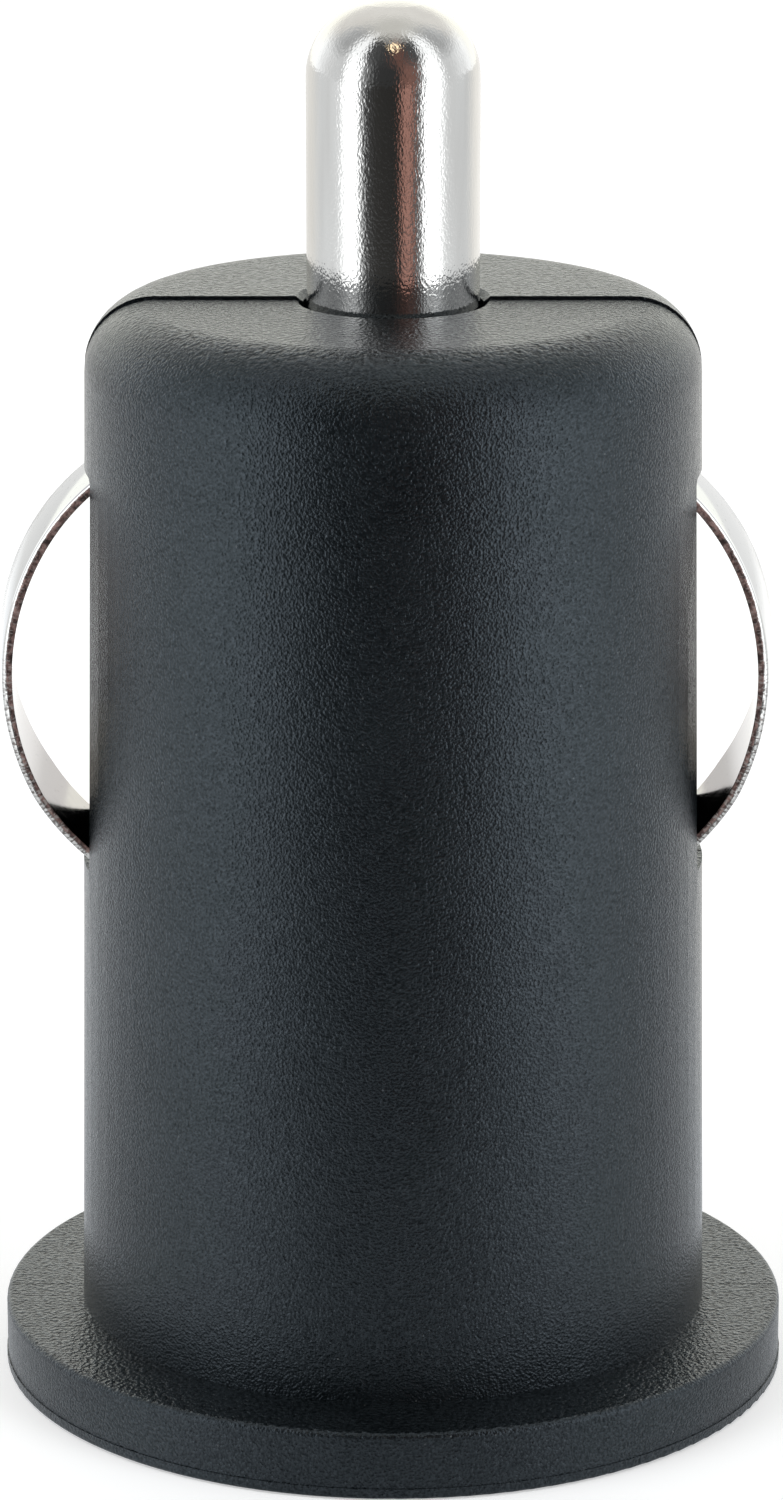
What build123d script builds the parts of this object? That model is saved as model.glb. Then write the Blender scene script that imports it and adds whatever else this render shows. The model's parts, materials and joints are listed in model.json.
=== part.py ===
from build123d import *
import os
from math import hypot, sqrt

# Mini USB charger plug for a car's 12 V socket. All sizes are in millimetres.
# It stands on its USB face: z = 0 is the outside of the face plate, +Z runs up the plug's axis
# to the sprung centre contact, and the two half shells meet on the plane y = 0.

# Housing: a tapered barrel on a flange, moulded as two half shells
flange_t = 1.82
flange_reveal = 0.03
flange_edge_r = 0.2
body_root_d = 20.36
body_nose_d = 19.35
body_l = 33.08
nose_r = 2.2
nose_step = 0.1
wall = 1.3
nose_wall = 1.6
cavity_r = 0.8
seam_w = 0.12
seam_deep = 0.15
flange_seam_w = 0.04

# Face plate that closes the flange end round the USB port
plate_d = 25.45
plate_t = 0.35
plate_edge_r = 0.1
spigot_h = 1.65
port_gap = 0.15
port_chamfer = 0.3

# Sprung centre contact
pin_d = 5.44
pin_out = 9.35
pin_crown_r = 3.85
pin_edge_r = 2.33
pin_gap = 0.13
pin_hole_chamfer = 0.2
hole_notch = 0.3
collar_d = 7.4
collar_t = 1.4
collar_gap = 0.1
pin_tail_d = 3.2
pin_tail_l = 2.0
guide_gap = 0.2
guide_wall = 0.9

# Coil spring behind the centre contact
wire_d = 0.55
coil_d = 5.0
coil_l = 8.0
coil_turns = 5.5
coil_gap = 0.05

# Bow springs on the two sides, which touch the socket's wall
bow_z = 23.5
bow_r = 7.95
bow_rise = 2.37
bow_w = 4.3
bow_t = 0.32
bow_bend_r = 0.5
bow_foot_l = 1.6
bow_gap = 0.05
foot_gap = 0.25
slot_w = 4.7
slot_end_gap = 0.75
slot_lip = 0.3
slot_corner_r = 0.3
pocket_wall = 0.95
ear_h = 1.2
ear_reach = 2.1
ear_gap = 0.05

# Circuit board, parallel to the seam and behind the USB port
board_t = 1.0
board_side_gap = 0.15
board_top_gap = 0.3
tail_l = 0.8
hole_gap = 0.12

# USB-A receptacle
usb_w = 13.1
usb_h = 5.72
usb_l = 13.4
usb_sheet = 0.3
usb_corner_r = 0.7
usb_recess = 0.25
tongue_w = 11.1
tongue_t = 1.84
tongue_l = 8.9
tongue_recess = 1.0
contact_setback = 1.0
block_gap = 0.05
contact_xs = (-3.5, -1.0, 1.0, 3.5)
contact_w = 1.0
contact_t = 0.2
contact_leg_w = 0.6
usb_leg_w = 2.0
usb_leg_z = 10.5

# Spring seat soldered to the board
seat_r = 2.6
seat_t = 0.4
seat_boss_h = 0.6
seat_tab_w = 2.4
seat_tab_l = 2.6

# Parts on the board
cap_d = 4.0
cap_l = 6.6
cap_x = 2.4
cap_z = 16.8
bung_t = 0.5
bung_d = 3.5
cap_bead_w = 0.5
cap_bead_deep = 0.25
cap_bead_up = 1.0
cap_edge_r = 0.25
cap_lead_d = 0.45
cap_lead_pitch = 1.5
core_d = 5.2
core_hub_d = 2.6
core_h = 3.2
core_flange_t = 0.7
winding_d = 4.6
core_z = 10.0
chip_guide_gap = 0.6
chip_w = 3.0
chip_l = 3.0
chip_h = 0.86
chip_lift = 0.1
mould_chamfer = 0.2
lead_rows = 4
lead_pitch = 0.65
lead_w = 0.3
lead_t = 0.2
lead_out = 0.95
diode_z = 4.6
diode_l = 4.3
diode_w = 2.6
diode_h = 2.1
small_l = 1.6
small_w = 0.8
small_h = 0.5
small_x = 5.0
resistor_zs = (8.0, 10.0, 12.0)
ceramic_zs = (7.0, 9.0, 16.0)

# Ribs, rails, pegs and bosses inside the shells
rib_t = 0.9
rib_x = 3.5
rib_gap = 0.1
rail_lip = 0.8
rail_gap = 0.05
rail_top = 12.5
peg_zs = (5.0, 11.0)
peg_gap = 0.05
boss_gap = 0.15
boss_l = 1.9
peg_l = 1.2

# Heights and radii that follow from the sizes above
flange_r = plate_d / 2 - flange_reveal
flange_z = plate_t + flange_t
nose_z = flange_z + body_l
ceiling_z = nose_z - nose_wall
collar_z = ceiling_z - collar_gap - collar_t
coil_top = collar_z - coil_gap
seat_z = coil_top - coil_l
guide_r = collar_d / 2 + guide_gap
guide_z = seat_z + seat_boss_h
pin_r = pin_d / 2
hole_r = pin_r + pin_gap
spigot_z = plate_t + spigot_h
board_front = usb_h / 2
board_back = board_front + board_t
board_z = spigot_z
board_top = guide_z - board_top_gap
chip_z = guide_z - chip_guide_gap - chip_l / 2
usb_end = usb_recess + usb_l
tongue_z = usb_recess + tongue_recess
block_z = tongue_z + tongue_l
contact_y = -contact_t / 2
leg_z = usb_end + contact_t
far = plate_d


def barrel_r(z):
    """Outer radius of the tapered barrel at height z."""
    taper = (body_root_d - body_nose_d) / 2 / body_l
    return body_root_d / 2 - (z - flange_z) * taper


def cavity_radius(z):
    """Inner radius of the shells at height z."""
    return barrel_r(z) - wall


board_half_w = sqrt(cavity_radius(board_top) ** 2 - board_back**2) - board_side_gap
usb_corner = hypot(usb_w / 2, usb_h / 2)
crest_x = barrel_r(bow_z) + bow_rise
bow_x = crest_x - bow_r
half_chord = sqrt(bow_r**2 - (bow_r - bow_rise) ** 2)
slot_z0 = bow_z - half_chord - slot_end_gap
slot_z1 = bow_z + half_chord + slot_end_gap
pocket_x = barrel_r(slot_z1) - pocket_wall
foot_out = pocket_x - bow_gap
foot_in = foot_out - bow_t


def block(x0, x1, y0, y1, z0, z1):
    """Box between two corners."""
    box = Box(x1 - x0, y1 - y0, z1 - z0)
    return Pos((x0 + x1) / 2, (y0 + y1) / 2, (z0 + z1) / 2) * box


def turned(points):
    """Solid of revolution about Z from (radius, height) points."""
    return revolve(Plane.XZ * make_face(Polyline(*points, close=True)), Axis.Z)


def post(x, y, z0, z1, r):
    """Upright cylinder between two heights."""
    return Pos(x, y, (z0 + z1) / 2) * Cylinder(r, z1 - z0)


def stud(x, z, y0, y1, r):
    """Cylinder along Y, square to the board."""
    return Pos(x, (y0 + y1) / 2, z) * Rot(90, 0, 0) * Cylinder(r, y1 - y0)


def at_height(vertices, radius, z):
    """The vertex of a half outline nearest to a given radius and height."""
    return min(vertices, key=lambda v: hypot(v.X - radius, v.Y - z))


def half_outline(top):
    """Right half of the housing's outline up to a height, as (radius, height), with its edges rounded."""
    rim = (flange_r, flange_z)
    nose = (barrel_r(top), top)
    points = [(0, plate_t), (flange_r, plate_t), rim, (body_root_d / 2, flange_z), nose, (0, top)]
    face = make_face(Polyline(*points, close=True))
    face = fillet(at_height(face.vertices(), *rim), flange_edge_r)
    return fillet(at_height(face.vertices(), *nose), nose_r)


def cavity():
    """Space inside the shells, open through the flange."""
    low = plate_t - spigot_h
    top_r = cavity_radius(ceiling_z)
    points = [(0, low), (cavity_radius(plate_t), low), (top_r, ceiling_z), (0, ceiling_z)]
    face = make_face(Polyline(*points, close=True))
    face = fillet(at_height(face.vertices(), top_r, ceiling_z), cavity_r)
    return revolve(Plane.XZ * face, Axis.Z)


def seam_groove(outline):
    """Shallow groove round the housing where the half shells meet, finer across the flange."""
    whole = outline + mirror(outline, about=Plane.YZ)
    strip = whole - offset(whole, -seam_deep)
    low = Pos(0, flange_z / 2) * Rectangle(2 * far, flange_z)
    groove = extrude(Plane.XZ * (strip - low), seam_w / 2, both=True)
    return groove + extrude(Plane.XZ * (strip & low), flange_seam_w / 2, both=True)


def arc_height(r, x):
    """Height above bow_z at which a curve of the bow, of radius r, reaches x."""
    return sqrt(r**2 - (x - bow_x) ** 2)


def bow_foot_end():
    """Distance from bow_z to the end of each foot."""
    return arc_height(bow_r, foot_out) + bow_foot_l


def bow_slot():
    """Slot for the right bow: a straight lip, a flare behind it and a flat pocket for the feet."""
    inner_x = usb_w / 2
    lip_x = barrel_r(slot_z1) - slot_lip
    mouth = RectangleRounded(slot_w, slot_z1 - slot_z0, slot_corner_r)
    slot = extrude(Plane.YZ.offset(inner_x) * Pos(0, (slot_z0 + slot_z1) / 2) * mouth, far)
    bend = arc_height(bow_r, pocket_x) + bow_bend_r
    points = [
        (inner_x, bow_z - bend),
        (pocket_x, bow_z - bend),
        (lip_x, slot_z0),
        (lip_x, slot_z1),
        (pocket_x, bow_z + bend),
        (inner_x, bow_z + bend),
    ]
    slot += extrude(Plane.XZ * make_face(Polyline(*points, close=True)), slot_w / 2, both=True)
    end = bow_foot_end()
    reach = end + foot_gap
    slot += block(inner_x, pocket_x, -slot_w / 2, slot_w / 2, bow_z - reach, bow_z + reach)
    ear_top = bow_z - end + ear_h + foot_gap
    return slot + block(inner_x, pocket_x, 0, board_front + ear_gap, bow_z - reach, ear_top)


def housing(top):
    """Hollow moulding that a half shell is half of, with the slots, the pin hole and the pin's guide."""
    outline = half_outline(top)
    solid = revolve(Plane.XZ * outline, Axis.Z) - cavity()
    solid += post(0, 0, guide_z, ceiling_z, guide_r + guide_wall)
    solid -= post(0, 0, guide_z, ceiling_z, guide_r)
    solid -= post(0, 0, ceiling_z, top, hole_r)
    edge_z = top - pin_hole_chamfer
    solid -= turned([(0, edge_z), (hole_r, edge_z), (hole_r + pin_hole_chamfer, top), (0, top)])
    right = bow_slot()
    solid -= right
    solid -= mirror(right, about=Plane.YZ)
    for side in (-1, 1):
        notch = Rot(0, 0, 45) * Box(hole_notch, hole_notch, nose_wall)
        solid -= Pos(side * hole_r, 0, nose_z - nose_wall / 2) * notch
    return solid - seam_groove(outline)


def wall_core():
    """The cavity grown half a wall outwards, which trims what is moulded onto the inside."""
    grow = wall / 2
    points = [(0, spigot_z), (cavity_radius(spigot_z) + grow, spigot_z),
              (cavity_radius(ceiling_z) + grow, ceiling_z), (0, ceiling_z)]
    return turned(points)


def boss_place():
    """Boss radius and distance from the axis, between the USB shell and the wall."""
    clear = cavity_radius(rail_top) - usb_w / 2 - boss_gap
    return clear / 2, usb_w / 2 + boss_gap + clear / 2


def front_shell():
    """Front half, a step lower at the nose: press ribs behind the USB shell, and bosses with pegs."""
    shell = housing(nose_z - nose_step) & block(-far, far, -far, 0, -far, 2 * far)
    boss_r, boss_x = boss_place()
    inside = Part()
    pegs = Part()
    for side in (-1, 1):
        x = side * rib_x
        rib_y = -(usb_h / 2 + rib_gap)
        inside += block(x - rib_t / 2, x + rib_t / 2, -far, rib_y, spigot_z + rib_gap, rail_top)
        ends = sorted((side * boss_x, side * far))
        for z in peg_zs:
            inside += stud(side * boss_x, z, -boss_l, 0, boss_r)
            inside += block(*ends, -boss_l, 0, z - boss_r, z + boss_r)
            pegs += stud(side * boss_x, z, -boss_l, peg_l, boss_r / 2)
    return shell + (inside & wall_core()) + pegs


def rear_shell():
    """Rear half: grooved rails for the board's edges, and bosses with peg holes."""
    shell = housing(nose_z) & block(-far, far, 0, far, -far, 2 * far)
    boss_r, boss_x = boss_place()
    rail_x = usb_w / 2 + boss_gap
    inside = Part()
    holes = board_blank(rail_gap)
    for side in (-1, 1):
        ends = sorted((side * rail_x, side * far))
        inside += block(*ends, board_front - rail_lip, board_back + rail_lip, spigot_z + rib_gap, rail_top)
        ends = sorted((side * boss_x, side * far))
        for z in peg_zs:
            inside += stud(side * boss_x, z, 0, boss_l, boss_r)
            inside += block(*ends, 0, boss_l, z - boss_r, z + boss_r)
            holes += stud(side * boss_x, z, 0, peg_l + peg_gap, boss_r / 2 + peg_gap)
    return shell + (inside & wall_core()) - holes


def face_plate():
    """Disc with a spigot that fits inside the flange, cut through for the USB port."""
    plate = post(0, 0, 0, plate_t, plate_d / 2)
    plate = fillet(plate.edges().filter_by(GeomType.CIRCLE).group_by(Axis.Z)[0], plate_edge_r)
    ring = post(0, 0, plate_t, spigot_z, cavity_radius(spigot_z) - rail_gap)
    ring -= post(0, 0, plate_t, spigot_z, usb_corner + port_gap)
    port = RectangleRounded(usb_w + 2 * port_gap, usb_h + 2 * port_gap, usb_corner_r + port_gap)
    plate = plate + ring - extrude(port, plate_t)
    mouth = plate.faces().sort_by(Axis.Z)[0].inner_wires()[0].edges()
    return chamfer(mouth, port_chamfer)


def contact_pin():
    """Turned pin with a crowned and rounded tip, a collar that stops it in the nose and a tail inside the spring."""
    tip = nose_z + pin_out
    crown_z = tip - pin_crown_r
    crown = (Circle(pin_crown_r) & Pos(pin_r / 2, pin_crown_r / 2) * Rectangle(pin_r, pin_crown_r)).face()
    rim = crown.vertices().group_by(Axis.X)[-1].sort_by(Axis.Y)[-1]
    pin = Pos(0, 0, crown_z) * revolve(Plane.XZ * fillet(rim, pin_edge_r), Axis.Z)
    pin += post(0, 0, collar_z, crown_z, pin_r)
    pin += post(0, 0, collar_z, collar_z + collar_t, collar_d / 2)
    return pin + post(0, 0, collar_z - pin_tail_l, collar_z, pin_tail_d / 2)


def contact_spring():
    """Coil spring with ground ends, from the seat to the pin's collar."""
    pitch = (coil_l - wire_d / 2) / coil_turns
    path = Helix(pitch, coil_l - wire_d / 2, (coil_d - wire_d) / 2, center=(0, 0, seat_z + wire_d / 4))
    section = Plane(origin=path @ 0, z_dir=path % 0) * Circle(wire_d / 2)
    return sweep(section, path=path) & post(0, 0, seat_z, coil_top, coil_d)


def tip_terminal():
    """Spring seat: a disc with a centring boss, bent down into a tab on the board."""
    seat = post(0, 0, seat_z - seat_t, seat_z, seat_r)
    half = seat_tab_w / 2
    seat += block(-half, half, 0, board_front, seat_z - seat_t, seat_z)
    seat += block(-half, half, board_front - seat_t, board_front, seat_z - seat_tab_l, seat_z)
    return seat + post(0, 0, seat_z, seat_z + seat_boss_h, coil_d / 2 - wire_d - coil_gap)


def right_bow():
    """Spring strip bowed out through its slot, with a foot at each end behind the wall and a wiper ear."""
    ring = Pos(bow_x, bow_z) * (Circle(bow_r) - Circle(bow_r - bow_t))
    strip = ring & Pos(foot_in + far / 2, bow_z) * Rectangle(far, 4 * bow_r)
    z_in = arc_height(bow_r - bow_t, foot_in)
    z_out = arc_height(bow_r, foot_out)
    end = bow_foot_end()
    foot = Rectangle(bow_t, end - z_in)
    for side in (-1, 1):
        strip += Pos((foot_in + foot_out) / 2, bow_z + side * (z_in + end) / 2) * foot
    strip = strip.face()
    for side in (-1, 1):
        hollow = at_height(strip.vertices(), foot_out, bow_z + side * z_out)
        strip = fillet(hollow, bow_bend_r)
        round_side = at_height(strip.vertices(), foot_in, bow_z + side * z_in)
        strip = fillet(round_side, bow_bend_r + bow_t)
    bow = extrude(Plane.XZ * strip, bow_w / 2, both=True)
    low = bow_z - end
    ear_y = board_front - ear_gap
    bow += block(foot_in, foot_out, 0, ear_y, low, low + ear_h)
    return bow + block(foot_out - ear_reach, foot_out, ear_y - bow_t, ear_y, low, low + ear_h)


def board_blank(grow):
    """The board's outline, grown by a clearance."""
    w = board_half_w + grow
    return block(-w, w, board_front - grow, board_back + grow, board_z - grow, board_top + grow)


def circuit_board():
    """Board with holes for the USB legs, the USB contacts and the capacitors' leads."""
    board = board_blank(0)
    leg_x = usb_w / 2 - usb_sheet / 2
    for side in (-1, 1):
        x0 = side * leg_x - usb_sheet / 2 - hole_gap
        x1 = side * leg_x + usb_sheet / 2 + hole_gap
        half = usb_leg_w / 2 + hole_gap
        board -= block(x0, x1, board_front, board_back, usb_leg_z - half, usb_leg_z + half)
    for x in contact_xs:
        board -= stud(x, leg_z, board_front, board_back, contact_leg_w / 2 + hole_gap)
    for x in cap_lead_xs():
        board -= stud(x, cap_z, board_front, board_back, cap_lead_d / 2 + hole_gap)
    return board


def usb_shell():
    """Folded steel shell, open at the mouth and the back, with a leg each side through the board."""
    outer = RectangleRounded(usb_w, usb_h, usb_corner_r)
    inner = RectangleRounded(usb_w - 2 * usb_sheet, usb_h - 2 * usb_sheet, usb_corner_r - usb_sheet)
    shell = Pos(0, 0, usb_recess) * extrude(outer - inner, usb_l)
    for side in (-1, 1):
        ends = sorted((side * usb_w / 2, side * (usb_w / 2 - usb_sheet)))
        shell += block(*ends, 0, board_back + tail_l, usb_leg_z - usb_leg_w / 2, usb_leg_z + usb_leg_w / 2)
    return shell


def contact(x, grow):
    """One USB contact along the tongue, bent down through the board; grown for its channel."""
    half = contact_w / 2 + grow
    strip = block(x - half, x + half, contact_y - grow, contact_y + contact_t + grow,
                  tongue_z + contact_setback - grow, leg_z + contact_t / 2)
    half = contact_leg_w / 2
    z0 = leg_z - contact_t / 2
    return strip + block(x - half, x + half, contact_y, board_back + tail_l, z0, z0 + contact_t)


def usb_insulator():
    """Moulded block at the back of the shell with the tongue that carries the contacts."""
    lining = usb_sheet + block_gap
    fill = RectangleRounded(usb_w - 2 * lining, usb_h - 2 * lining, usb_corner_r - usb_sheet)
    body = Pos(0, 0, block_z) * extrude(fill, usb_end - block_z)
    body += block(-tongue_w / 2, tongue_w / 2, -tongue_t, 0, tongue_z, block_z)
    for x in contact_xs:
        body -= contact(x, block_gap / 2)
    return body


def capacitor(side):
    """Electrolytic capacitor standing on the board: the can, rolled in over its bung."""
    low = board_front - bung_t
    can = stud(side * cap_x, cap_z, low - cap_l, low, cap_d / 2)
    bead_y = low - cap_bead_up
    bead = stud(side * cap_x, cap_z, bead_y - cap_bead_w, bead_y, cap_d)
    bead -= stud(side * cap_x, cap_z, bead_y - cap_bead_w, bead_y, cap_d / 2 - cap_bead_deep)
    can -= bead
    end = can.edges().filter_by(GeomType.CIRCLE).group_by(Axis.Y)[0]
    return fillet(end, cap_edge_r)


def capacitor_bung(side):
    """Rubber bung between the can and the board, with holes for the leads."""
    bung = stud(side * cap_x, cap_z, board_front - bung_t, board_front, bung_d / 2)
    for x in cap_lead_xs():
        bung -= stud(x, cap_z, board_front - bung_t, board_front, cap_lead_d / 2)
    return bung


def cap_lead_xs():
    """Places of the capacitors' leads along the board."""
    return [side * cap_x + end * cap_lead_pitch / 2 for side in (-1, 1) for end in (-1, 1)]


def capacitor_leads():
    """Four leads from the cans through the bungs and the board."""
    low = board_front - bung_t
    return [stud(x, cap_z, low, board_back + tail_l, cap_lead_d / 2) for x in cap_lead_xs()]


def inductor_core():
    """Ferrite drum on the back of the board."""
    y1 = board_back + core_h
    drum = stud(0, core_z, board_back, y1, core_hub_d / 2)
    drum += stud(0, core_z, board_back, board_back + core_flange_t, core_d / 2)
    return drum + stud(0, core_z, y1 - core_flange_t, y1, core_d / 2)


def inductor_winding():
    """Copper winding between the drum's flanges."""
    y0 = board_back + core_flange_t
    y1 = board_back + core_h - core_flange_t
    return stud(0, core_z, y0, y1, winding_d / 2) - stud(0, core_z, y0, y1, core_hub_d / 2)


def controller():
    """Moulded body of the converter chip, lifted off the board by its leads."""
    y0 = board_back + chip_lift
    body = block(-chip_w / 2, chip_w / 2, y0, y0 + chip_h, chip_z - chip_l / 2, chip_z + chip_l / 2)
    upright = body.edges().filter_by(Axis.Z).group_by(Axis.Y)[-1]
    return chamfer(upright, mould_chamfer)


def controller_leads():
    """Gull-wing leads, four on each side of the chip."""
    knee_y = board_back + chip_lift + chip_h / 2
    out = chip_w / 2 + lead_out
    knee = chip_w / 2 + lead_out / 2
    points = [
        (chip_w / 2, knee_y),
        (knee, knee_y),
        (knee, board_back + lead_t),
        (out, board_back + lead_t),
        (out, board_back),
        (knee - lead_t, board_back),
        (knee - lead_t, knee_y - lead_t),
        (chip_w / 2, knee_y - lead_t),
    ]
    lead = extrude(make_face(Polyline(*points, close=True)), lead_w / 2, both=True)
    leads = []
    for row in range(lead_rows):
        z = chip_z + (row - (lead_rows - 1) / 2) * lead_pitch
        leads.append(Pos(0, 0, z) * lead)
        leads.append(Pos(0, 0, z) * mirror(lead, about=Plane.YZ))
    return leads


def diode():
    """Rectifier diode: a moulded body with a foot folded under each end."""
    half = diode_l / 2
    y1 = board_back + diode_h
    body = block(-half, half, board_back + lead_t, y1, diode_z - diode_w / 2, diode_z + diode_w / 2)
    body = chamfer(body.edges().filter_by(Axis.Z).group_by(Axis.Y)[-1], mould_chamfer)
    for side in (-1, 1):
        ends = sorted((side * half / 2, side * (half + lead_t)))
        body += block(*ends, board_back, board_back + lead_t, diode_z - half / 2, diode_z + half / 2)
    return body


def chips(side, heights):
    """Small surface-mount parts in a column on the back of the board."""
    x = side * small_x
    w = small_w / 2
    return [block(x - w, x + w, board_back, board_back + small_h, z - w, z - w + small_l) for z in heights]


def save(name, shape):
    """Write one node; a list is written as separate solids."""
    solids = shape if isinstance(shape, list) else [shape]
    export_step(Compound(children=[s for part in solids for s in part.solids()]), f"parts/{name}.step")


os.makedirs("parts", exist_ok=True)
save("front_shell", front_shell())
save("rear_shell", rear_shell())
save("face_plate", face_plate())
save("contact_pin", contact_pin())
save("contact_spring", contact_spring())
save("tip_terminal", tip_terminal())
bow = right_bow()
save("right_bow_spring", bow)
save("left_bow_spring", mirror(bow, about=Plane.YZ))
save("circuit_board", circuit_board())
save("usb_shell", usb_shell())
save("usb_insulator", usb_insulator())
for number, x in enumerate(contact_xs, 1):
    save(f"usb_contact_{number}", contact(x, 0))
save("input_capacitor", capacitor(-1))
save("output_capacitor", capacitor(1))
save("input_capacitor_bung", capacitor_bung(-1))
save("output_capacitor_bung", capacitor_bung(1))
save("capacitor_leads", capacitor_leads())
save("inductor_core", inductor_core())
save("inductor_winding", inductor_winding())
save("controller_chip", controller())
save("controller_leads", controller_leads())
save("rectifier_diode", diode())
save("chip_resistors", chips(-1, resistor_zs))
save("chip_capacitors", chips(1, ceramic_zs))
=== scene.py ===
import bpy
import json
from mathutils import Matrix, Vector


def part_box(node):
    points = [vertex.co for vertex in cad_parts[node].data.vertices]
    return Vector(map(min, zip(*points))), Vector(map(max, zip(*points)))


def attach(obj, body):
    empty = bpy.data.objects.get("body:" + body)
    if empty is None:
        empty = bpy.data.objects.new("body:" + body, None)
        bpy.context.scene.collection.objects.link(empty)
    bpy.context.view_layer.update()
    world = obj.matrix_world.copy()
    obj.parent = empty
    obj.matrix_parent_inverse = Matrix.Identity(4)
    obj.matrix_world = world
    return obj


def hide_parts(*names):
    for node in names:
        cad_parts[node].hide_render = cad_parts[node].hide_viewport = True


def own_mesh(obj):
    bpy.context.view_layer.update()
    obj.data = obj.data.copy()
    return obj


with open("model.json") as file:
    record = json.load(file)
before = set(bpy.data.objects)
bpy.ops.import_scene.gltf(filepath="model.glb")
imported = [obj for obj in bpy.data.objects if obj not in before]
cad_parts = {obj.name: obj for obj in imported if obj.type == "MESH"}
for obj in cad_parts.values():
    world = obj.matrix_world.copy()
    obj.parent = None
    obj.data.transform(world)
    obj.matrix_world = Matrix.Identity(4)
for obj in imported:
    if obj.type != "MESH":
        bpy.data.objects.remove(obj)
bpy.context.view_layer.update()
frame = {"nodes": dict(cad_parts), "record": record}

import json
from math import acos, atan2, cos, hypot, pi, radians, sin, sqrt

import bpy

# A mini USB charger plug for a car's 12 V socket, standing on its USB face.
# Lengths are in millimetres and angles in degrees; MM turns lengths into Blender's metres.
MM = 0.001
# Points closer than this are one, and a cut may be off by this much
MERGE = 0.001
CUT_SLACK = 0.0001
# From these shares of its normal a face counts as facing an axis, or as square to it
FACING = 0.9
SQUARE = 0.99

# Bow springs: the strip's section, its outer curve, its feet behind the wall and its wiper ear
BOW_Z = 23.5
BOW_R = 7.95
BOW_T = 0.32
BOW_W = 4.3
BOW_STEPS = 176
BOW_SMOOTH = 12
BEND_R = 0.5
BEND_STEPS = 8
EAR_H = 1.2
EAR_REACH = 2.1
# Their sheared edges: rolled over outside, a burr inside, and torn between
ROLL_OVER = 0.2
ROLL_STEPS = 6
BURR = 0.02
TEAR_DEPTH = 0.01
TEAR_SEED = {"right": 3, "left": 8}
# The set that each strip took: how far its crest sprang out, and how far it twisted
BOW_SET = {"right": (-0.17, 6.0), "left": (0.3, 4.8)}
# The twist is full in a thin band above the bow's middle, and fades out within its reach
TWIST_UP = 1.5
TWIST_BAND = 0.1
TWIST_REACH = 5.5

# Coil spring under the centre contact
COIL_R = 2.225
COIL_WIRE_R = 0.275
COIL_WIRE_SIDES = 14
COIL_TURNS = 5.5
COIL_STEPS_PER_TURN = 40
COIL_FLOOR = 24.1
COIL_TOP = 32.1
COIL_SMOOTH = 40

# Plastic of the shells and the face plate
# The plastic's colours run dark in the grain's pits, as painted shade, and light on its tops, with a random
# drift as well
CHARCOAL_DARK = (0.0016, 0.0026, 0.0032)
CHARCOAL_LIGHT = (0.0092, 0.012, 0.0136)
CHARCOAL_SHEEN = (0.76, 0.89, 1.0)
PALE_SPECK = (0.09, 0.095, 0.095)
GRAIN_DEPTH = 0.042
# Plating of the bow springs, and the base metal where it is torn
PLATE_SHEEN = (0.84, 0.855, 0.875)
PLATE_OUTSIDE = (0.71, 0.71, 0.71)
PLATE_INSIDE = (0.47, 0.43, 0.41)
PLATE_STAIN = (0.2, 0.19, 0.18)
# The rolled-over band's colours, plain on its upper half and ticked on its lower, a difference that is
# painted light
PLATE_ROLLED = (0.78, 0.77, 0.75)
TICK_DARK = (0.2, 0.18, 0.17)
TICK_LIGHT = (0.62, 0.61, 0.59)
TORN_NICK = (0.42, 0.38, 0.36)
TORN_DARK = (0.045, 0.028, 0.026)
TORN_BROWN = (0.16, 0.096, 0.086)
TORN_LIGHT = (0.38, 0.25, 0.225)
# Pitch of the inductor's winding
WIRE_PITCH = 0.3

# Camera and floor
CAMERA_PLACE = (-0.053, -173.0, 69.68)
CAMERA_PITCH = 15.88
CAMERA_LENS = 134.6
CAMERA_SENSOR = 36.0
CAMERA_CLIP = (10, 20000)
FLOOR_DROP = 0.05
FLOOR_HOLE_R = 12.2
FLOOR_R = 3000.0
FLOOR_SIDES = 96
FLOOR_PAINT = (0.8, 0.8, 0.8)
FLOOR_LIFT = 0.4

# The studio by bearing from the camera side: brightness, and a tint where it isn't cool. The floor's pattern
# changes with distance from the part, and the walls change with height up to the roof.
COOL = (0.97, 1.0, 1.03)
WARM = (1.01, 1.0, 0.97)
BROWN = (1.3, 0.7, 0.58)
STRAW = (1.0, 1.0, 0.92)
FLOOR_NEAR = (
    (-180, 0.9, WARM), (-140, 1.0), (-117, 0.77), (-97, 0.7), (-77, 0.73), (-60, 0.76), (-45, 0.84),
    (-29, 0.7), (-14, 0.53), (0, 0.49), (14, 0.53), (29, 0.64), (45, 0.68), (60, 0.68), (80, 0.64),
    (101, 0.68), (121, 0.86), (140, 1.05), (154, 1.05, WARM), (180, 0.9, WARM),
)
FLOOR_MID = (
    (-180, 1.3, WARM), (-133, 1.12), (-117, 0.97), (-97, 0.98), (-77, 1.32), (-56, 1.95), (-50, 1.8),
    (-43, 1.05), (-36, 0.26), (-25, 0.09), (0, 0.06), (20, 0.08), (29, 0.13), (36, 0.34), (44, 1.2),
    (52, 2.0), (64, 2.5), (72, 1.6), (80, 1.18), (101, 0.7), (121, 0.92), (155, 1.35, WARM), (180, 1.3, WARM),
)
FLOOR_FAR = (
    (-180, 0.95, WARM), (-136, 0.95, WARM), (-113, 0.88), (-80, 0.92), (-72, 1.15), (-67, 2.1), (-50, 2.4),
    (-45, 0.75), (-37, 0.08), (-25, 0.04, WARM), (6, 0.03, WARM), (9, 0.09, BROWN), (13, 0.29, BROWN),
    (18, 0.39, BROWN), (23, 0.33, BROWN), (27, 0.15, BROWN), (32, 0.13), (36, 0.3), (39, 0.9), (43, 2.0),
    (46, 2.5), (60, 2.5), (68, 1.15), (78, 0.88), (91, 0.86), (113, 0.82), (136, 1.05, WARM),
    (180, 1.1, WARM),
)
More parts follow.
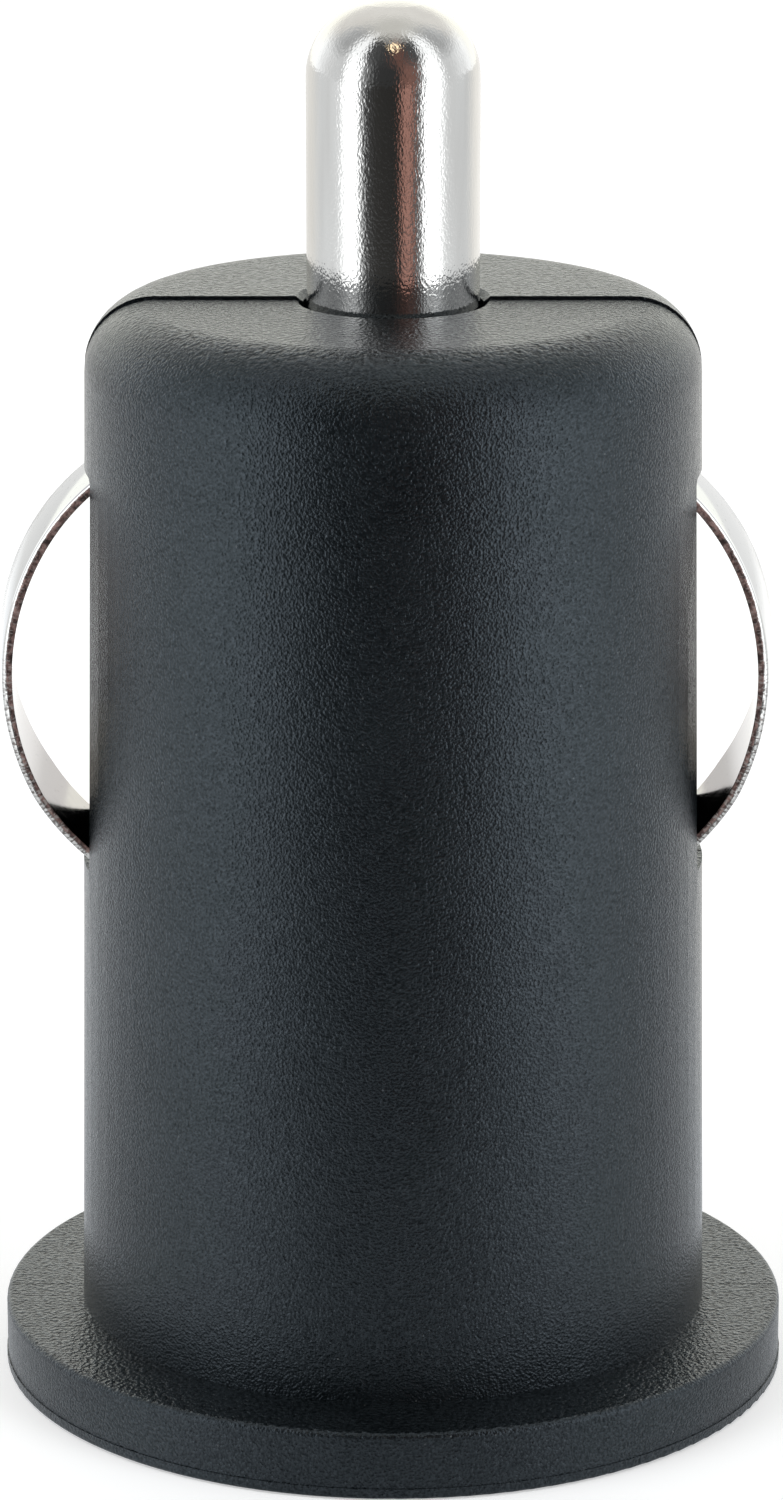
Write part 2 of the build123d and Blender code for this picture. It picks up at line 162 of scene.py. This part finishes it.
WALLS = (
    (-180, 1.42, STRAW), (-150, 1.42, STRAW), (-125, 1.4), (-105, 1.05), (-85, 0.82), (-70, 0.85), (-64, 2.0),
    (-50, 2.0), (-42, 0.35), (-25, 0.05), (6, 0.04), (12, 0.15, BROWN), (24, 0.2, BROWN), (30, 0.15, BROWN),
    (38, 0.26), (48, 2.0), (64, 2.0), (72, 0.85), (85, 0.82), (105, 1.05), (125, 1.4), (150, 1.42, STRAW),
    (180, 1.42, STRAW),
)
UPPER = (
    (-180, 0.95, WARM), (-130, 0.9, WARM), (-110, 0.65), (-90, 0.48), (-78, 0.62), (-66, 1.5), (-52, 1.35),
    (-42, 0.1), (-8, 0.05), (4, 0.14, BROWN), (14, 0.12, BROWN), (24, 0.08), (42, 0.1), (52, 1.35), (66, 1.5),
    (78, 0.62), (90, 0.48), (110, 0.65), (130, 0.9, WARM), (180, 0.95, WARM),
)
ROOF = (0.75, 0.75, 0.72)
STUDIO_TOP = 2.5
# Distances from the part over which one pattern of the floor gives way to the next
NEAR_TO_MID = (25, 75)
MID_TO_FAR = (120, 190)
# Heights, from 0 at the horizon to 1 overhead, over which the walls do the same
WALLS_TO_UPPER = (0.35, 0.6)
UPPER_TO_ROOF = (0.85, 0.99)
# Small warm lamp that shows on the pin's dome: bearing and height, where it starts and is full, and colour
LAMP_WAY = (2, 55)
LAMP_FADE = (7, 3)
LAMP = (1.9, 1.5, 1.0)
# Soft panels that light the part: bearing and width of each, then what both share
PANELS = {"left_panel": (-65, 330), "right_panel": (54, 290)}
PANEL_AWAY = 500
PANEL_H = 720
PANEL_Z = 370
PANEL_LEVEL = 1.6


# Modelling helpers


def deselect():
    """Leave object mode's selection empty."""
    if bpy.context.mode != "OBJECT":
        bpy.ops.object.mode_set(mode="OBJECT")
    bpy.ops.object.select_all(action="DESELECT")


def activate(piece):
    """Make a piece the only selected one, in object mode."""
    deselect()
    piece.select_set(True)
    bpy.context.view_layer.objects.active = piece


def named(name):
    """Name the object that was just added."""
    piece = bpy.context.active_object
    piece.name = name
    piece.data.name = name
    return piece


def edit(piece, mode="FACE"):
    """Open a piece in edit mode with nothing selected."""
    activate(piece)
    bpy.ops.object.mode_set(mode="EDIT")
    clear_picks(mode)


def clear_picks(mode):
    """Select by vertex, edge or face, with nothing selected yet."""
    bpy.ops.mesh.select_mode(type=mode)
    bpy.ops.mesh.select_all(action="DESELECT")


def pick_faces(piece, test):
    """Select the faces whose centre (in mm) and normal pass a test."""
    clear_picks("FACE")
    bpy.ops.object.mode_set(mode="OBJECT")
    for face in piece.data.polygons:
        face.select = test(face.center / MM, face.normal)
    bpy.ops.object.mode_set(mode="EDIT")


def pick_edges(piece, test):
    """Select the edges whose two ends (in mm) pass a test."""
    clear_picks("EDGE")
    bpy.ops.object.mode_set(mode="OBJECT")
    points = piece.data.vertices
    for edge in piece.data.edges:
        a, b = edge.vertices
        edge.select = test(points[a].co / MM, points[b].co / MM)
    bpy.ops.object.mode_set(mode="EDIT")


def pick_verts(piece, test):
    """Select the vertices whose place (in mm) passes a test."""
    clear_picks("VERT")
    bpy.ops.object.mode_set(mode="OBJECT")
    for point in piece.data.vertices:
        point.select = test(point.co / MM)
    bpy.ops.object.mode_set(mode="EDIT")


def extrude_by(x, y, z):
    """Extrude the selected faces by a step in millimetres."""
    bpy.ops.mesh.extrude_region_move(TRANSFORM_OT_translate={"value": (x * MM, y * MM, z * MM)})


def spin_by(angle, steps, x, z):
    """Sweep the selected faces round an axis along y, through a point in millimetres."""
    bpy.ops.mesh.spin(steps=steps, angle=angle, center=(x * MM, 0, z * MM), axis=(0, 1, 0))


def merge_doubles():
    """Merge the points of the mesh that lie together."""
    bpy.ops.mesh.select_all(action="SELECT")
    bpy.ops.mesh.remove_doubles(threshold=MERGE * MM)


def face_outwards():
    """Turn every face of the mesh outwards."""
    bpy.ops.mesh.select_all(action="SELECT")
    bpy.ops.mesh.normals_make_consistent(inside=False)


def apply_all(piece):
    """Apply a piece's modifiers and its place."""
    activate(piece)
    for modifier in list(piece.modifiers):
        bpy.ops.object.modifier_apply(modifier=modifier.name)
    bpy.ops.object.transform_apply(location=True, rotation=True, scale=True)


# Bow springs


def bow_strip(name, out, twist, seed):
    """The right-hand strip: bent, with its wiper ear, its sheared edges and the set that it took."""
    low, high = [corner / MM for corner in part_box("right_bow_spring")]
    foot_x = low.x + EAR_REACH
    crest_x = high.x + out
    centre_x = crest_x - BOW_R
    bend_dz = sqrt((BOW_R + BEND_R) ** 2 - (foot_x + BEND_R - centre_x) ** 2)
    strip = bent_strip(name, low.z, foot_x, centre_x, bend_dz)
    add_ear(strip, low.z, high.y - BOW_T)
    shear_edges(strip, centre_x, bend_dz, seed)
    mark_strip(strip, centre_x)
    twist_crest(strip, crest_x, twist)
    return strip


def bent_strip(name, foot_end, foot_x, centre_x, bend_dz):
    """Lower foot, bend, bow, bend and upper foot."""
    bend_x = foot_x + BEND_R
    bend_z = BOW_Z - bend_dz
    turn = acos((bend_x - centre_x) / (BOW_R + BEND_R))
    deselect()
    bpy.ops.mesh.primitive_cube_add(
        size=1, location=((foot_x - BOW_T / 2) * MM, 0, (foot_end + EAR_H / 2) * MM),
        scale=(BOW_T * MM, BOW_W * MM, EAR_H * MM))
    strip = named(name)
    apply_all(strip)
    edit(strip)
    pick_faces(strip, lambda c, n: n.z > FACING)
    extrude_by(0, 0, bend_z - foot_end - EAR_H)
    spin_by(-turn, BEND_STEPS, bend_x, bend_z)
    spin_by(2 * turn, BOW_STEPS, centre_x, BOW_Z)
    spin_by(-turn, BEND_STEPS, bend_x, BOW_Z + bend_dz)
    extrude_by(0, 0, bend_z - foot_end)
    return strip


def add_ear(strip, foot_end, ear_y):
    """Wiper ear, out from the side of the lower foot and then inwards."""
    pick_faces(strip, lambda c, n: n.y > FACING and c.z < foot_end + EAR_H)
    extrude_by(0, ear_y - BOW_W / 2, 0)
    extrude_by(0, BOW_T, 0)
    pick_faces(strip, lambda c, n: n.x < -FACING and c.y > ear_y)
    extrude_by(BOW_T - EAR_REACH, 0, 0)
    merge_doubles()
    face_outwards()


def from_centre(p, centre_x):
    """Distance of a point from the axis that the bow is bent round."""
    return hypot(p.x - centre_x, p.z - BOW_Z)


def shear_edges(strip, centre_x, bend_dz, seed):
    """Roll-over on the outside edges of the bow, a small burr on the inside ones, and torn metal between."""
    skin = BOW_R - BOW_T / 4
    core = BOW_R - BOW_T * 3 / 4

    def along_bow(a, b, test):
        ends = (a, b)
        on_side = all(abs(abs(p.y) - BOW_W / 2) < MERGE and abs(p.z - BOW_Z) < bend_dz for p in ends)
        return on_side and a.y * b.y > 0 and all(test(from_centre(p, centre_x)) for p in ends)

    pick_edges(strip, lambda a, b: along_bow(a, b, lambda r: r > skin))
    bpy.ops.mesh.bevel(offset=ROLL_OVER * MM, segments=ROLL_STEPS, affect="EDGES")
    pick_edges(strip, lambda a, b: along_bow(a, b, lambda r: r < core))
    bpy.ops.mesh.bevel(offset=BURR * MM, segments=1, affect="EDGES")
    pick_faces(strip, lambda c, n: abs(n.y) > SQUARE and abs(c.z - BOW_Z) < bend_dz)
    bpy.ops.transform.vertex_random(offset=TEAR_DEPTH * MM, uniform=0.0, normal=0.0, seed=seed)
    bpy.ops.object.mode_set(mode="OBJECT")


def mark_strip(strip, centre_x):
    """Depth into the strip, length along it and place across it, for the finish to follow."""
    marks = strip.data.attributes.new("strip", "FLOAT_VECTOR", "POINT")
    for point, mark in zip(strip.data.vertices, marks.data):
        p = point.co / MM
        depth = (BOW_R - from_centre(p, centre_x)) / BOW_T
        along = atan2(p.z - BOW_Z, p.x - centre_x) * BOW_R
        mark.vector = (depth, along, p.y)


def twist_crest(strip, crest_x, twist):
    """Twist the crest, with the feet still flat, and shade the strip smooth."""
    edit(strip)
    pick_verts(strip, lambda p: abs(p.z - BOW_Z - TWIST_UP) < TWIST_BAND)
    bpy.ops.transform.rotate(
        value=radians(twist), orient_axis="Z", center_override=(crest_x * MM, 0, BOW_Z * MM),
        use_proportional_edit=True, proportional_edit_falloff="INVERSE_SQUARE",
        proportional_size=TWIST_REACH * MM)
    bpy.ops.object.mode_set(mode="OBJECT")
    bpy.ops.object.shade_smooth_by_angle(angle=radians(BOW_SMOOTH))


def mirror_over(piece):
    """Turn a right-hand piece into its left-hand twin."""
    edit(piece)
    bpy.ops.mesh.select_all(action="SELECT")
    bpy.ops.transform.mirror(constraint_axis=(True, False, False), center_override=(0, 0, 0))
    face_outwards()
    bpy.ops.object.mode_set(mode="OBJECT")


# Coil spring


def coil():
    """Wire screwed up the axis, with ground ends."""
    deselect()
    bpy.ops.mesh.primitive_circle_add(
        vertices=COIL_WIRE_SIDES, radius=COIL_WIRE_R * MM, fill_type="NOTHING",
        location=(COIL_R * MM, 0, (COIL_FLOOR + COIL_WIRE_R / 2) * MM), rotation=(radians(90), 0, 0))
    spring = named("coil_spring")
    apply_all(spring)
    screw = spring.modifiers.new("turns", "SCREW")
    screw.axis = "Z"
    screw.angle = 2 * pi * COIL_TURNS
    screw.screw_offset = (COIL_TOP - COIL_FLOOR - COIL_WIRE_R) * MM
    screw.steps = int(COIL_STEPS_PER_TURN * COIL_TURNS)
    screw.render_steps = screw.steps
    apply_all(spring)
    edit(spring, "VERT")
    merge_doubles()
    bpy.ops.mesh.select_all(action="DESELECT")
    bpy.ops.mesh.select_non_manifold()
    bpy.ops.mesh.edge_face_add()
    for height, up in ((COIL_FLOOR, -1), (COIL_TOP, 1)):
        bpy.ops.mesh.select_all(action="SELECT")
        bpy.ops.mesh.bisect(plane_co=(0, 0, height * MM), plane_no=(0, 0, up),
                            use_fill=True, clear_outer=True, threshold=CUT_SLACK * MM)
    face_outwards()
    bpy.ops.object.mode_set(mode="OBJECT")
    bpy.ops.object.shade_smooth_by_angle(angle=radians(COIL_SMOOTH))
    return spring


# Finishes: scales of noise and cells are counts to a millimetre, and depths of relief are in millimetres


class Tree:
    """The node tree of a material or world in the making."""

    # Sockets of a Mix node's two colours, and of its result
    MIX_A, MIX_B, MIX_OUT = 6, 7, 2

    def __init__(self, owner):
        owner.use_nodes = True
        self.nodes = owner.node_tree.nodes
        self.links = owner.node_tree.links

    def fill(self, socket, value):
        """Link a socket or set its constant; a colour is given without its alpha."""
        if isinstance(value, bpy.types.NodeSocket):
            self.links.new(value, socket)
        elif socket.type == "RGBA":
            socket.default_value = (*value, 1)
        else:
            socket.default_value = value

    def add(self, kind, *values, operation=None, **named_values):
        """Add a node and fill its sockets, in order or by name."""
        node = self.nodes.new("ShaderNode" + kind)
        if operation:
            node.operation = operation
        for key, value in (*enumerate(values), *named_values.items()):
            self.fill(node.inputs[key], value)
        return node

    def math(self, operation, *values):
        """Arithmetic on numbers and sockets."""
        return self.add("Math", *values, operation=operation).outputs["Value"]

    def spread(self, value, low, high, to_low=0.0, to_high=1.0):
        """Value between two limits, spread between two others."""
        return self.add("MapRange", value, low, high, to_low, to_high).outputs["Result"]

    def axes(self, vector):
        """The x, y and z of a vector."""
        split = self.add("SeparateXYZ", vector).outputs
        return split["X"], split["Y"], split["Z"]

    def tones(self, value, *stops):
        """Colour ramp with stops of position and colour."""
        node = self.add("ValToRGB", value)
        elements = node.color_ramp.elements
        while len(elements) < len(stops):
            elements.new(0.5)
        for element, (position, colour) in zip(elements, stops):
            element.position = position
            element.color = (*colour, 1)
        return node.outputs["Color"]

    def blend(self, share, a, b):
        """Mix of two colours."""
        node = self.nodes.new("ShaderNodeMix")
        node.data_type = "RGBA"
        for key, value in ((0, share), (self.MIX_A, a), (self.MIX_B, b)):
            self.fill(node.inputs[key], value)
        return node.outputs[self.MIX_OUT]


class Finish(Tree):
    """A piece's material in the making, with its coordinates in millimetres."""

    def __init__(self, name, metallic=0.0):
        self.material = bpy.data.materials.new(name)
        super().__init__(self.material)
        self.shader = self.nodes["Principled BSDF"].inputs
        self.fill(self.shader["Metallic"], metallic)
        place = self.add("TexCoord").outputs["Object"]
        self.mm = self.mapped(place, (1 / MM, 1 / MM, 1 / MM))

    def mapped(self, vector, scale):
        """Coordinates stretched by a scale."""
        return self.add("Mapping", vector, Scale=scale).outputs["Vector"]

    def noise(self, scale, detail=2.0, rough=0.5, vector=None, stretch=None):
        """Noise on the piece's coordinates or another vector, stretched where asked."""
        vector = vector or self.mm
        if stretch:
            vector = self.mapped(vector, stretch)
        node = self.add("TexNoise", Vector=vector, Scale=scale, Detail=detail, Roughness=rough)
        return node.outputs["Fac"]

    def cells(self, scale):
        """Distance from the middle of the nearest of many scattered cells."""
        return self.add("TexVoronoi", Vector=self.mm, Scale=scale).outputs["Distance"]

    def facing(self):
        """The x, y and z of the way that the face looks."""
        return self.axes(self.add("NewGeometry").outputs["True Normal"])

    def colour(self, value):
        """Colour of the surface."""
        self.fill(self.shader["Base Color"], value)

    def roughness(self, value):
        """Roughness of the surface."""
        self.fill(self.shader["Roughness"], value)

    def relief(self, height, depth, under=None):
        """Fine relief of a depth in millimetres, over another where asked."""
        node = self.add("Bump", Strength=1.0, Distance=depth * MM, Height=height)
        if under:
            self.fill(node.inputs["Normal"], under)
        self.fill(self.shader["Normal"], node.outputs["Normal"])
        return node.outputs["Normal"]


def grained_plastic(name):
    """Charcoal moulding with a spark-eroded tool's pebbled grain, coarser on the flats, painted shade in its
    pits, and pale specks.
    """
    f = Finish(name)
    f.fill(f.shader["Specular Tint"], CHARCOAL_SHEEN)
    flat = f.spread(f.facing()[2], 0.7, 0.98)
    upright = f.math("SUBTRACT", 1.0, flat)
    fine = f.math("MULTIPLY", f.math("SUBTRACT", f.noise(12.0, detail=1.5), 0.5), upright)
    coarse = f.math("MULTIPLY", f.math("SUBTRACT", f.noise(7.0), 0.5), f.math("MULTIPLY", flat, 2.0))
    pebbles = f.math("ADD", fine, coarse)
    # Painted shade in the grain's pits: there the specular level drops and the colour darkens, most on the
    # flats
    f.fill(f.shader["Specular IOR Level"], f.spread(pebbles, -0.4, 0.4, 0.1, 1.06))
    drift = f.math("MULTIPLY_ADD", f.noise(0.35, detail=3.0), 0.4, 0.3)
    tone = f.math("MULTIPLY_ADD", pebbles, 0.6, drift)
    charcoal = f.tones(tone, (0.3, CHARCOAL_DARK), (0.7, CHARCOAL_LIGHT))
    specks = f.spread(f.cells(1.6), 0.03, 0.06, 0.7, 0.0)
    f.colour(f.blend(specks, charcoal, PALE_SPECK))
    f.roughness(f.spread(f.noise(3.0, detail=3.0), 0.3, 0.7, 0.2, 0.26))
    f.relief(pebbles, GRAIN_DEPTH)
    return f.material


def polished_nickel(name):
    """Turned and plated pin: fine pits and faint wipe marks under a bright plate."""
    f = Finish(name, metallic=1.0)
    pits = f.noise(14.0, detail=1.0, stretch=(1, 1, 0.6))
    wipes = f.noise(1.2, detail=4.0, stretch=(1, 1, 0.12))
    f.colour(f.tones(wipes, (0.3, (0.66, 0.645, 0.62)), (0.7, (0.74, 0.73, 0.705))))
    f.roughness(f.spread(pits, 0.3, 0.75, 0.06, 0.12))
    f.relief(pits, 0.0075)
    return f.material


def sheared_nickel(name):
    """Plated strip: satin faces, a pale rolled-over edge whose width and ticks differ between its halves as
    painted light, and torn brown base metal below it.
    """
    f = Finish(name, metallic=1.0)
    f.fill(f.shader["Specular Tint"], PLATE_SHEEN)
    reader = f.nodes.new("ShaderNodeAttribute")
    reader.attribute_name = "strip"
    marks = reader.outputs["Vector"]
    depth, along, _ = f.axes(marks)
    ticks = f.noise(11.0, detail=1.0, vector=marks, stretch=(0.15, 1, 0))
    tears = f.noise(2.6, detail=4.0, rough=0.7, vector=marks, stretch=(0.5, 1, 0))
    # A sheared edge is known by where it faces; the twist turns the broad faces less than this
    edge = f.spread(f.math("ABSOLUTE", f.facing()[1]), 0.12, 0.2)
    lower = f.spread(along, -1.5, 1.5, 1.0, 0.0)

    # Torn metal starts deeper on the lower half, so that the rolled-over band is painted wider and ticked
    # there; the edge is the same all along, so this difference between the halves is painted light
    start = f.math("ADD", f.spread(lower, 0.0, 1.0, 0.18, 0.42), f.math("MULTIPLY", ticks, 0.2))
    bare = f.math("MULTIPLY", edge, f.spread(f.math("SUBTRACT", depth, start), 0.0, 0.08))
    torn = f.tones(tears, (0.41, TORN_DARK), (0.5, TORN_BROWN), (0.6, TORN_LIGHT))
    nicks = f.math("MULTIPLY", f.spread(ticks, 0.54, 0.6), f.spread(along, -2.0, 5.0, 0.85, 0.25))
    torn = f.blend(nicks, torn, TORN_NICK)

    satin = f.blend(f.spread(depth, 0.4, 0.6), PLATE_OUTSIDE, PLATE_INSIDE)
    faces = f.blend(f.spread(f.cells(2.6), 0.06, 0.14, 0.55, 0.0), satin, PLATE_STAIN)
    ticked = f.tones(ticks, (0.38, TICK_DARK), (0.52, TICK_LIGHT))
    # Painted light: the rolled-over band is plain pale on the upper half and ticked on the lower
    rolled = f.blend(lower, PLATE_ROLLED, ticked)
    f.colour(f.blend(bare, f.blend(edge, faces, rolled), torn))
    f.fill(f.shader["Metallic"], f.spread(bare, 0.0, 1.0, 1.0, 0.15))
    fine = f.noise(6.0, detail=3.0, vector=marks, stretch=(1, 0.2, 1))
    f.roughness(f.math("ADD", f.spread(fine, 0.3, 0.7, 0.05, 0.12), f.math("MULTIPLY", bare, 0.3)))
    f.relief(f.math("MULTIPLY", ticks, f.math("MULTIPLY", edge, lower)), 0.012)
    return f.material


def drawn_metal(name, dull, bright, rough, stretch, scale=6.0, depth=0.003):
    """Plain metal with fine drawing or rolling lines along one direction."""
    f = Finish(name, metallic=1.0)
    lines = f.noise(scale, detail=4.0, rough=0.6, stretch=stretch)
    stain = f.noise(0.5, detail=3.0)
    tone = f.math("ADD", f.math("MULTIPLY", lines, 0.5), f.math("MULTIPLY", stain, 0.5))
    f.colour(f.tones(tone, (0.32, dull), (0.68, bright)))
    f.roughness(f.spread(lines, 0.3, 0.7, rough - 0.06, rough + 0.08))
    f.relief(lines, depth)
    return f.material


def moulded(name, dark, light, rough, grain=5.0, depth=0.004):
    """Plain moulded or sintered body with a fine speckle."""
    f = Finish(name)
    speckle = f.noise(grain, detail=3.0, rough=0.6)
    cloud = f.noise(0.6)
    tone = f.math("ADD", f.math("MULTIPLY", speckle, 0.6), f.math("MULTIPLY", cloud, 0.4))
    f.colour(f.tones(tone, (0.3, dark), (0.7, light)))
    f.roughness(f.spread(speckle, 0.3, 0.7, rough - 0.05, rough + 0.07))
    f.relief(speckle, depth)
    return f.material


def laminate(name):
    """Green solder mask over copper tracks and glass cloth."""
    f = Finish(name)
    x, _, z = f.axes(f.mm)
    weft, warp = (f.math("SINE", f.math("MULTIPLY", axis, 14.0)) for axis in (x, z))
    weave = f.math("MULTIPLY", weft, warp)
    tracks = f.spread(f.noise(0.45, detail=0.0), 0.47, 0.5)
    mask = f.tones(f.spread(weave, -1.0, 1.0), (0.0, (0.008, 0.075, 0.03)), (1.0, (0.012, 0.1, 0.042)))
    f.colour(f.blend(tracks, mask, (0.025, 0.17, 0.075)))
    f.roughness(f.spread(f.noise(2.0), 0.3, 0.7, 0.22, 0.34))
    f.relief(tracks, 0.03, f.relief(weave, 0.004))
    return f.material


def wound_copper(name):
    """Enamelled wire laid turn by turn round the drum."""
    f = Finish(name, metallic=1.0)
    _, y, _ = f.axes(f.mm)
    turns = f.math("ABSOLUTE", f.math("SINE", f.math("MULTIPLY", y, pi / WIRE_PITCH)))
    f.colour(f.tones(f.noise(0.9, detail=3.0), (0.3, (0.42, 0.16, 0.06)), (0.7, (0.62, 0.27, 0.11))))
    f.roughness(f.spread(f.noise(3.0), 0.3, 0.7, 0.22, 0.36))
    f.relief(turns, 0.1)
    return f.material


# Stage, camera and light


def add_camera():
    """Camera at the photograph's angle."""
    data = bpy.data.cameras.new("camera")
    data.sensor_width = CAMERA_SENSOR
    data.lens = CAMERA_LENS
    data.clip_start, data.clip_end = (reach * MM for reach in CAMERA_CLIP)
    camera = bpy.data.objects.new("camera", data)
    camera.location = [v * MM for v in CAMERA_PLACE]
    camera.rotation_euler = (radians(90 - CAMERA_PITCH), 0, 0)
    bpy.context.scene.collection.objects.link(camera)
    bpy.context.scene.camera = camera


def of_top(colour):
    """A colour of the studio as a share of its highest brightness."""
    return tuple(channel / STUDIO_TOP for channel in colour)


def by_bearing(tree, vector, table):
    """Colour of the studio by a vector's bearing, as a share of its highest brightness."""
    x, y, _ = tree.axes(vector)
    bearing = tree.math("ARCTAN2", x, tree.math("MULTIPLY", y, -1.0))
    stops = []
    for degrees_round, level, *tint in table:
        colour = of_top(level * channel for channel in (tint[0] if tint else COOL))
        stops.append((degrees_round / 360 + 0.5, colour))
    return tree.tones(tree.math("MULTIPLY_ADD", bearing, 0.5 / pi, 0.5), *stops)


def add_floor():
    """Pale floor, open under the part so that its underside can be seen from below."""
    deselect()
    bpy.ops.mesh.primitive_circle_add(
        vertices=FLOOR_SIDES, radius=FLOOR_HOLE_R * MM, fill_type="NOTHING",
        location=(0, 0, -FLOOR_DROP * MM))
    floor = named("floor")
    apply_all(floor)
    edit(floor, "EDGE")
    bpy.ops.mesh.select_all(action="SELECT")
    bpy.ops.mesh.extrude_region_move()
    widen = FLOOR_R / FLOOR_HOLE_R
    bpy.ops.transform.resize(value=(widen, widen, 1), center_override=(0, 0, 0))
    face_outwards()
    bpy.ops.object.mode_set(mode="OBJECT")
    if floor.data.polygons[0].normal.z < 0:
        edit(floor)
        bpy.ops.mesh.select_all(action="SELECT")
        bpy.ops.mesh.flip_normals()
        bpy.ops.object.mode_set(mode="OBJECT")
    floor.data.materials.append(pale_floor())


def pale_floor():
    """White to the camera, the studio's pattern in reflections, and clear from below."""
    material = bpy.data.materials.new("pale_floor")
    tree = Tree(material)
    tree.nodes.clear()
    path = tree.add("LightPath").outputs
    paint = tree.add("BsdfDiffuse", Color=FLOOR_PAINT)
    glow = tree.add("Emission", Strength=tree.math("MULTIPLY", path["Is Camera Ray"], FLOOR_LIFT))
    shown = tree.add("AddShader", paint.outputs[0], glow.outputs[0])

    place = tree.add("TexCoord").outputs["Object"]
    away = tree.add("VectorMath", place, operation="LENGTH").outputs["Value"]
    near, mid, far = (by_bearing(tree, place, table) for table in (FLOOR_NEAR, FLOOR_MID, FLOOR_FAR))
    inner, outer = (tree.spread(away, start * MM, end * MM) for start, end in (NEAR_TO_MID, MID_TO_FAR))
    pattern = tree.blend(outer, tree.blend(inner, near, mid), far)
    gloss = tree.add("Emission", Color=pattern, Strength=STUDIO_TOP)

    mirrored = tree.math("MAXIMUM", path["Is Glossy Ray"], path["Is Transmission Ray"])
    top = tree.add("MixShader", mirrored, shown.outputs[0], gloss.outputs[0])
    below = tree.add("NewGeometry").outputs["Backfacing"]
    both = tree.add("MixShader", below, top.outputs[0], tree.add("BsdfTransparent").outputs[0])
    tree.add("OutputMaterial", Surface=both.outputs[0])
    return material


def add_world():
    """The studio above the floor; the camera itself sees it white."""
    world = bpy.data.worlds.new("studio")
    bpy.context.scene.world = world
    tree = Tree(world)
    tree.nodes.clear()
    way = tree.add("TexCoord").outputs["Generated"]
    height = tree.axes(way)[2]
    walls, upper = (by_bearing(tree, way, table) for table in (WALLS, UPPER))
    room = tree.blend(tree.spread(height, *WALLS_TO_UPPER), walls, upper)
    room = tree.blend(tree.spread(height, *UPPER_TO_ROOF), room, of_top(ROOF))

    bearing, rise = (radians(angle) for angle in LAMP_WAY)
    lamp_way = (sin(bearing) * cos(rise), -cos(bearing) * cos(rise), sin(rise))
    near_lamp = tree.add("VectorMath", way, lamp_way, operation="DOT_PRODUCT").outputs["Value"]
    spot = tree.spread(near_lamp, *(cos(radians(angle)) for angle in LAMP_FADE))
    room = tree.blend(spot, room, of_top(LAMP))

    lit = tree.add("Background", Color=room, Strength=STUDIO_TOP)
    white = tree.add("Background", Color=(1, 1, 1), Strength=1.0)
    seen = tree.add("LightPath").outputs["Is Camera Ray"]
    both = tree.add("MixShader", seen, lit.outputs[0], white.outputs[0])
    tree.add("OutputWorld", Surface=both.outputs[0])


def add_panel(name, bearing, width):
    """Soft panel at a bearing from the camera side, facing the part."""
    data = bpy.data.lights.new(name, "AREA")
    data.shape = "RECTANGLE"
    data.size = width * MM
    data.size_y = PANEL_H * MM
    data.energy = PANEL_LEVEL * pi * width * MM * PANEL_H * MM
    data.color = COOL
    panel = bpy.data.objects.new(name, data)
    turn = radians(bearing)
    panel.location = (PANEL_AWAY * MM * sin(turn), -PANEL_AWAY * MM * cos(turn), PANEL_Z * MM)
    panel.rotation_euler = (radians(90), 0, turn)
    panel.visible_glossy = False
    bpy.context.scene.collection.objects.link(panel)


add_camera()
add_floor()
add_world()
for panel_name, (panel_bearing, panel_width) in PANELS.items():
    add_panel(panel_name, panel_bearing, panel_width)

finishes = {
    "barrel_plastic": grained_plastic("charcoal_barrel"),
    "plate_plastic": grained_plastic("charcoal_plate"),
    "nickel": polished_nickel("polished_nickel"),
    "nickel_strip": sheared_nickel("nickel_strip"),
    "spring_steel": drawn_metal("spring_wire", (0.3, 0.3, 0.31), (0.52, 0.52, 0.52), 0.28, (1, 1, 4)),
    "tinned_metal": drawn_metal(
        "dull_tin", (0.5, 0.5, 0.48), (0.72, 0.72, 0.7), 0.36, (1, 1, 1), scale=3.0, depth=0.006),
    "board_laminate": laminate("green_board"),
    "usb_steel": drawn_metal("stamped_steel", (0.5, 0.5, 0.5), (0.68, 0.68, 0.67), 0.24, (1, 1, 0.08)),
    "usb_plastic": moulded("white_insulator", (0.66, 0.66, 0.63), (0.75, 0.75, 0.72), 0.42),
    "contact_gold": drawn_metal("gold_flash", (0.68, 0.45, 0.17), (0.86, 0.62, 0.28), 0.2, (1, 1, 0.1)),
    "chip_mould": moulded("moulding_compound", (0.018, 0.018, 0.019), (0.034, 0.034, 0.035), 0.5),
    "ferrite": moulded(
        "sintered_ferrite", (0.06, 0.056, 0.052), (0.11, 0.105, 0.1), 0.6, grain=4.0, depth=0.01),
    "copper": wound_copper("enamelled_copper"),
    "can_aluminium": drawn_metal("drawn_can", (0.58, 0.59, 0.6), (0.74, 0.75, 0.76), 0.3, (1, 0.1, 1)),
    "bung_rubber": moulded("black_rubber", (0.018, 0.018, 0.018), (0.032, 0.032, 0.031), 0.68),
    "resistor_ceramic": moulded("glazed_chip", (0.03, 0.03, 0.034), (0.055, 0.055, 0.062), 0.3),
    "capacitor_ceramic": moulded("tan_ceramic", (0.36, 0.25, 0.16), (0.47, 0.35, 0.23), 0.5),
}

slots = {part["node"]: part["material_slot"] for part in frame["record"]["subparts"]}
for node, piece in frame["nodes"].items():
    piece.data.materials.clear()
    piece.data.materials.append(finishes[slots[node]])

for side in ("right", "left"):
    strip = bow_strip(f"{side}_bow_strip", *BOW_SET[side], TEAR_SEED[side])
    if side == "left":
        mirror_over(strip)
    strip.data.materials.append(finishes["nickel_strip"])
    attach(strip, f"{side}_bow")
    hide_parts(f"{side}_bow_spring")

spring = coil()
spring.data.materials.append(finishes["spring_steel"])
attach(spring, "charger")
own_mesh(spring)
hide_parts("contact_spring")

bpy.context.scene.view_settings.view_transform = "Standard"
